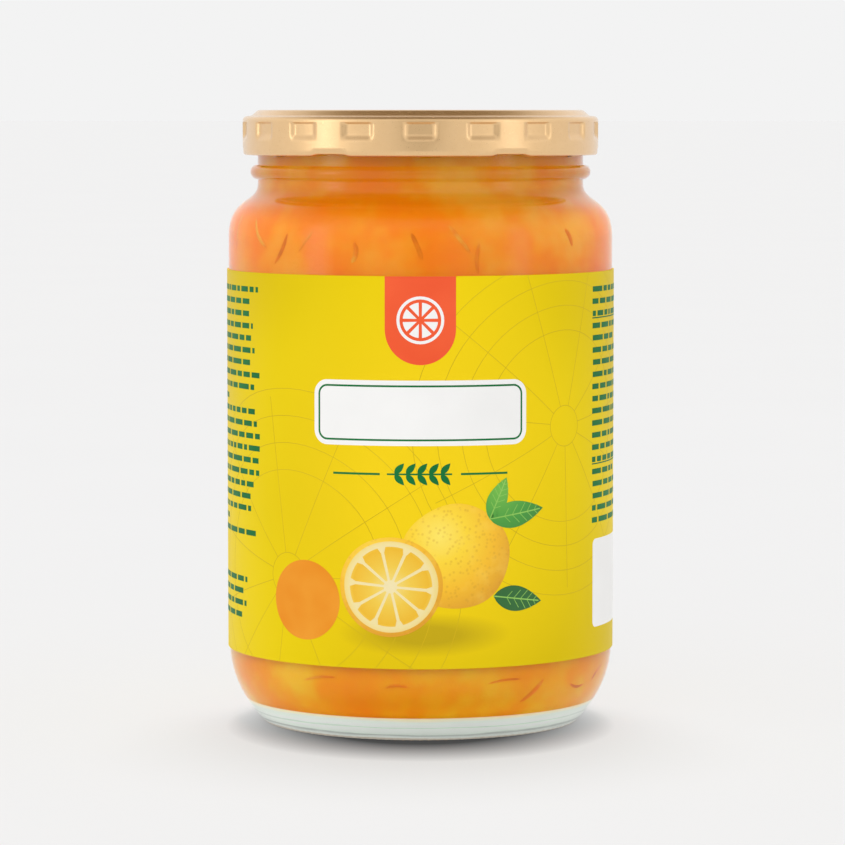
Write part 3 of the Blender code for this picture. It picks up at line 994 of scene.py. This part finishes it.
seal_finish, tree, shader, where = new_finish("sealing_compound")
cream = noise(tree, where, 700.0, 3.0)
seal_stops = [(0.3, (0.62, 0.55, 0.44)), (0.7, (0.74, 0.68, 0.58))]
tree.links.new(colour_ramp(tree, cream, seal_stops), shader.inputs["Base Color"])
roughen(tree, shader, cream, 0.5, 0.7, 0.05 * mm, 0.5)
seal_middle = (seal_inner + seal_outer) / 2
seal_outline = [
    (seal_inner, seal_high.z),
    (seal_inner, seal_low.z + 0.2 * mm),
    (seal_inner + 0.2 * mm, seal_low.z),
    (seal_middle - 0.5 * mm, seal_low.z),
    (seal_middle, seal_low.z + seal_mark),
    (seal_middle + 0.5 * mm, seal_low.z),
    (seal_outer - 0.2 * mm, seal_low.z),
    (seal_outer, seal_low.z + 0.2 * mm),
    (seal_outer, seal_high.z),
]
seal_mesh = round_body(seal_outline, soft_columns)
new_piece("sealing_ring", seal_mesh, seal_finish, "seal", "lid_liner")

# Lid
# Pressed from one disc of tinplate with champagne-gold lacquer: a flat panel inside a raised ring, a ledge,
# a skirt with 18 grip pockets, and a lower edge curled in and pressed to six lugs.
lid_low, lid_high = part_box("lid_shell")
lid_top, lid_bottom = lid_high.z, lid_low.z
lid_radius = 43.0 * mm
sheet_thickness = 0.5 * mm
panel_radius, panel_height = 34.6 * mm, 147.0 * mm
pocket_count, pocket_depth = 18, 0.7 * mm
pocket_top, pocket_floor_top = 145.3 * mm, 144.95 * mm
pocket_floor_bottom, pocket_bottom = 142.7 * mm, 140.6 * mm
pocket_floor_angle, pocket_angle = 3.9, 5.4
lug_tip_angle, lug_angle = 4.0, 7.5
lug_reach = 40.25 * mm
curl_radius, curl_top = 0.7 * mm, 1.8 * mm
curl_start, curl_sweep, curl_steps = -25.0, 235.0, 12
skirt_rows, lid_columns = 30, 540

gold, tree, shader, where = new_finish("champagne_gold_lacquer")
cloud = noise(tree, where, 240.0, 4.0, 0.6)
gold_stops = [(0.3, (0.82, 0.535, 0.26)), (0.7, (0.845, 0.56, 0.28))]
tree.links.new(colour_ramp(tree, cloud, gold_stops), shader.inputs["Base Color"])
shader.inputs["Metallic"].default_value = 0.9
speck = noise(tree, where, 3000.0, 3.0, 0.7)
roughen(tree, shader, speck, 0.26, 0.40, 0.01 * mm, 0.5)
shader.inputs["Coat Weight"].default_value = 0.6
shader.inputs["Coat Roughness"].default_value = 0.12


def pocket_share(height, angle):
    """1 on the floor of a grip pocket, 0 on the skirt between pockets."""
    off = abs(off_centre(angle, 0.0, 360.0 / pocket_count))
    across = smooth((pocket_angle - off) / (pocket_angle - pocket_floor_angle))
    if height > pocket_floor_bottom:
        down = smooth((pocket_top - height) / (pocket_top - pocket_floor_top))
    else:
        down = smooth((height - pocket_bottom) / (pocket_floor_bottom - pocket_bottom))
    return across * down


def shape_lid(radius, height, angle):
    """Presses the grip pockets into the skirt and the curl into lugs."""
    if pocket_bottom < height < pocket_top and radius > lid_radius - 0.8 * mm:
        radius -= pocket_depth * pocket_share(height, angle)
    rise = (lid_bottom + curl_top - height) / curl_top
    if rise > 0.0:
        off = abs(off_centre(angle, first_lug, lug_pitch))
        share = smooth((lug_angle - off) / (lug_angle - lug_tip_angle))
        inward = smooth((lid_radius - radius) / (1.5 * mm))
        room = max(0.0, radius - lug_reach)
        radius -= share * min(1.0, rise * 1.6) * (0.4 * mm * (1 - inward) + room * inward)
        height += share * 0.35 * mm * (1 - smooth((height - lid_bottom) / (0.9 * mm)))
    return radius, height


def rounded_path(corners, steps=5):
    """Rounds each corner of a path; corners are (radius, height, rounding)."""
    path = []
    for before, corner, after in zip([corners[0]] + corners, corners, corners[1:] + [corners[-1]]):
        rounding = corner[2]
        point = Vector(corner[:2])
        if not rounding:
            path.append(tuple(point))
            continue
        start = point + (Vector(before[:2]) - point).normalized() * rounding
        end = point + (Vector(after[:2]) - point).normalized() * rounding
        for i in range(steps + 1):
            t = i / steps
            path.append(tuple(start.lerp(point, t).lerp(point.lerp(end, t), t)))
    return path


inside_radius = lid_radius - sheet_thickness
outer_corners = [
    (0.0, panel_height, 0.0),
    (20.0 * mm, panel_height, 0.0),
    (panel_radius, panel_height, 0.35 * mm),
    (panel_radius + 1.1 * mm, lid_top, 0.45 * mm),
    (lid_radius - 3.7 * mm, lid_top, 0.5 * mm),
    (lid_radius - 2.2 * mm, lid_top - 1.35 * mm, 0.35 * mm),
    (lid_radius, lid_top - 1.6 * mm, 1.1 * mm),
    (lid_radius, pocket_top, 0.0),
]
skirt_top, skirt_bottom = pocket_top, lid_bottom + 1.4 * mm
skirt_fall = skirt_bottom - skirt_top
skirt = [(lid_radius, skirt_top + skirt_fall * i / skirt_rows) for i in range(1, skirt_rows + 1)]
curl = []
for i in range(curl_steps + 1):
    turn = math.radians(curl_start - curl_sweep * i / curl_steps)
    radius = lid_radius - curl_radius + curl_radius * math.cos(turn)
    curl.append((radius, lid_bottom + curl_radius + curl_radius * math.sin(turn)))
curl.append((inside_radius, lid_bottom + curl_top))
inner_skirt = [(inside_radius, z) for _, z in reversed(skirt[:-1])]
inner_corners = [
    (inside_radius, pocket_top, 0.0),
    (inside_radius - 0.3 * mm, lid_top - 2.2 * mm, 0.2 * mm),
    (lid_radius - 2.45 * mm, lid_top - 1.85 * mm, 0.2 * mm),
    (lid_radius - 4.0 * mm, lid_top - sheet_thickness, 0.3 * mm),
    (panel_radius + 1.45 * mm, lid_top - sheet_thickness, 0.3 * mm),
    (panel_radius + 0.35 * mm, panel_height - sheet_thickness, 0.3 * mm),
    (20.0 * mm, panel_height - sheet_thickness, 0.0),
    (0.0, panel_height - sheet_thickness, 0.0),
]
lid_outline = rounded_path(outer_corners) + skirt + curl + inner_skirt + rounded_path(inner_corners)
lid_mesh = round_body(lid_outline, lid_columns, shape_lid)
new_piece("gold_lid", lid_mesh, gold, "lid", "lid_shell")

# Studio
# A wide white light table that glows evenly, with a soft shade painted on it in front of the jar, and a pale
# sky that darkens overhead. A soft panel stands at each side and a dim one behind the camera, a high lamp
# shines from behind and a weak one from the front.
floor_half_width = 40.0
backdrop_tone = 0.896

floor_finish, tree, shader, where = new_finish("studio_floor")
tone = noise(tree, where, 6.0, 2.0)
white = colour_ramp(tree, tone, [(0.3, (0.246, 0.248, 0.252)), (0.7, (0.250, 0.252, 0.256))])
# Painted shade: the floor's colour and glow are darkened in a soft patch round the jar's foot, reaching
# furthest in front.
front_shade = soft_spot(tree, where, (0.0, -0.012), 0.83, 0.0255, 0.047, 0.9)
for colour, socket in ((white, "Base Color"), ((1.0, 1.0, 1.0), "Emission Color")):
    tree.links.new(blend_colours(tree, front_shade, colour, (0.0, 0.0, 0.0)), shader.inputs[socket])
shader.inputs["Emission Strength"].default_value = 0.6 * backdrop_tone
floor_finish.cycles.emission_sampling = "NONE"
shader.inputs["Roughness"].default_value = 0.9
shader.inputs["Specular IOR Level"].default_value = 0.0


def stage_sheet(name, half_width, half_height, finish):
    """A flat sheet of the studio, which isn't part of the jar."""
    corners = [(x * half_width, y * half_height, 0) for x, y in ((-1, -1), (1, -1), (1, 1), (-1, 1))]
    mesh = bpy.data.meshes.new(name)
    mesh.from_pydata(corners, [], [(0, 1, 2, 3)])
    mesh.materials.append(finish)
    sheet = bpy.data.objects.new(name, mesh)
    bpy.context.scene.collection.objects.link(sheet)
    return sheet


stage_sheet("studio_floor", floor_half_width, floor_half_width, floor_finish)

world = bpy.data.worlds.new("studio")
world.use_nodes = True
tree = world.node_tree
direction = tree.nodes.new("ShaderNodeTexCoord").outputs["Generated"]
tone = (backdrop_tone,) * 3
sky_stops = [
    (0.0, tone),
    (0.08, tone),
    (0.45, (1.03, 1.03, 1.03)),
    (0.7, (0.80, 0.79, 0.78)),
    (0.85, (0.26, 0.20, 0.14)),
    (0.93, (0.16, 0.10, 0.045)),
]
sky = colour_ramp(tree, axes_of(tree, direction)["Z"], sky_stops)
tree.links.new(sky, tree.nodes["Background"].inputs["Color"])
bpy.context.scene.world = world

jar_middle = Vector((0.0, 0.0, lid_top / 2))


def soft_panel(name, place, half_width, half_height, strength, glossy_only=False):
    """A panel that glows in its middle and fades to nothing at its edges."""
    finish = bpy.data.materials.new(name)
    finish.use_nodes = True
    tree = finish.node_tree
    tree.nodes.clear()
    axes = axes_of(tree, tree.nodes.new("ShaderNodeTexCoord").outputs["Object"])
    fades = []
    for axis, half in (("X", half_width), ("Y", half_height)):
        distance = calculate(tree, "ABSOLUTE", axes[axis])
        fades.append(spread(tree, distance, half * 0.25, half, 1.0, 0.0))
    glow = tree.nodes.new("ShaderNodeEmission")
    glow.inputs["Strength"].default_value = strength
    mix = tree.nodes.new("ShaderNodeMixShader")
    tree.links.new(calculate(tree, "MULTIPLY", *fades), mix.inputs[0])
    tree.links.new(tree.nodes.new("ShaderNodeBsdfTransparent").outputs[0], mix.inputs[1])
    tree.links.new(glow.outputs[0], mix.inputs[2])
    tree.links.new(mix.outputs[0], tree.nodes.new("ShaderNodeOutputMaterial").inputs["Surface"])
    panel = stage_sheet(name, half_width, half_height, finish)
    panel.location = place
    panel.rotation_euler = (jar_middle - Vector(place)).to_track_quat("-Z", "Y").to_euler()
    panel.visible_camera = False
    panel.visible_shadow = False
    panel.visible_diffuse = not glossy_only
    panel.visible_transmission = not glossy_only


soft_panel("left_lamp_panel", (-1.3, -0.66, 0.3), 0.34, 0.8, 2.6)
soft_panel("right_lamp_panel", (1.3, -0.75, 0.3), 0.3, 0.8, 2.0)
soft_panel("camera_side_shade", (0.0, -1.5, 0.25), 0.55, 0.7, 0.42, glossy_only=True)


def soft_sun(name, strength, turn, height, spread_angle):
    """A wide distant lamp at an angle from the front and a height above the floor, both in degrees."""
    lamp_data = bpy.data.lights.new(name, "SUN")
    lamp_data.energy = strength
    lamp_data.angle = math.radians(spread_angle)
    lamp = bpy.data.objects.new(name, lamp_data)
    rise = math.radians(height)
    towards = at_angle(math.cos(rise), turn, math.sin(rise))
    lamp.rotation_euler = towards.to_track_quat("Z", "Y").to_euler()
    lamp.visible_glossy = False
    bpy.context.scene.collection.objects.link(lamp)


soft_sun("high_lamp", 2.4, 180.0, 72.0, 28.0)
soft_sun("front_lamp", 0.35, -14.0, 25.0, 45.0)

camera_distance = 0.980
camera_height = 149.0 * mm
camera_tilt = 4.48
lens_length = 172.0
side_step = 0.5 * mm
camera_data = bpy.data.cameras.new("camera")
camera_data.sensor_width = 36.0
camera_data.lens = lens_length
camera = bpy.data.objects.new("camera", camera_data)
camera.location = (side_step, -camera_distance, camera_height)
camera.rotation_euler = (math.radians(90.0 - camera_tilt), 0.0, 0.0)
bpy.context.scene.collection.objects.link(camera)
bpy.context.scene.camera = camera
bpy.context.scene.view_settings.view_transform = "Standard"
bpy.context.scene.view_settings.look = "None"
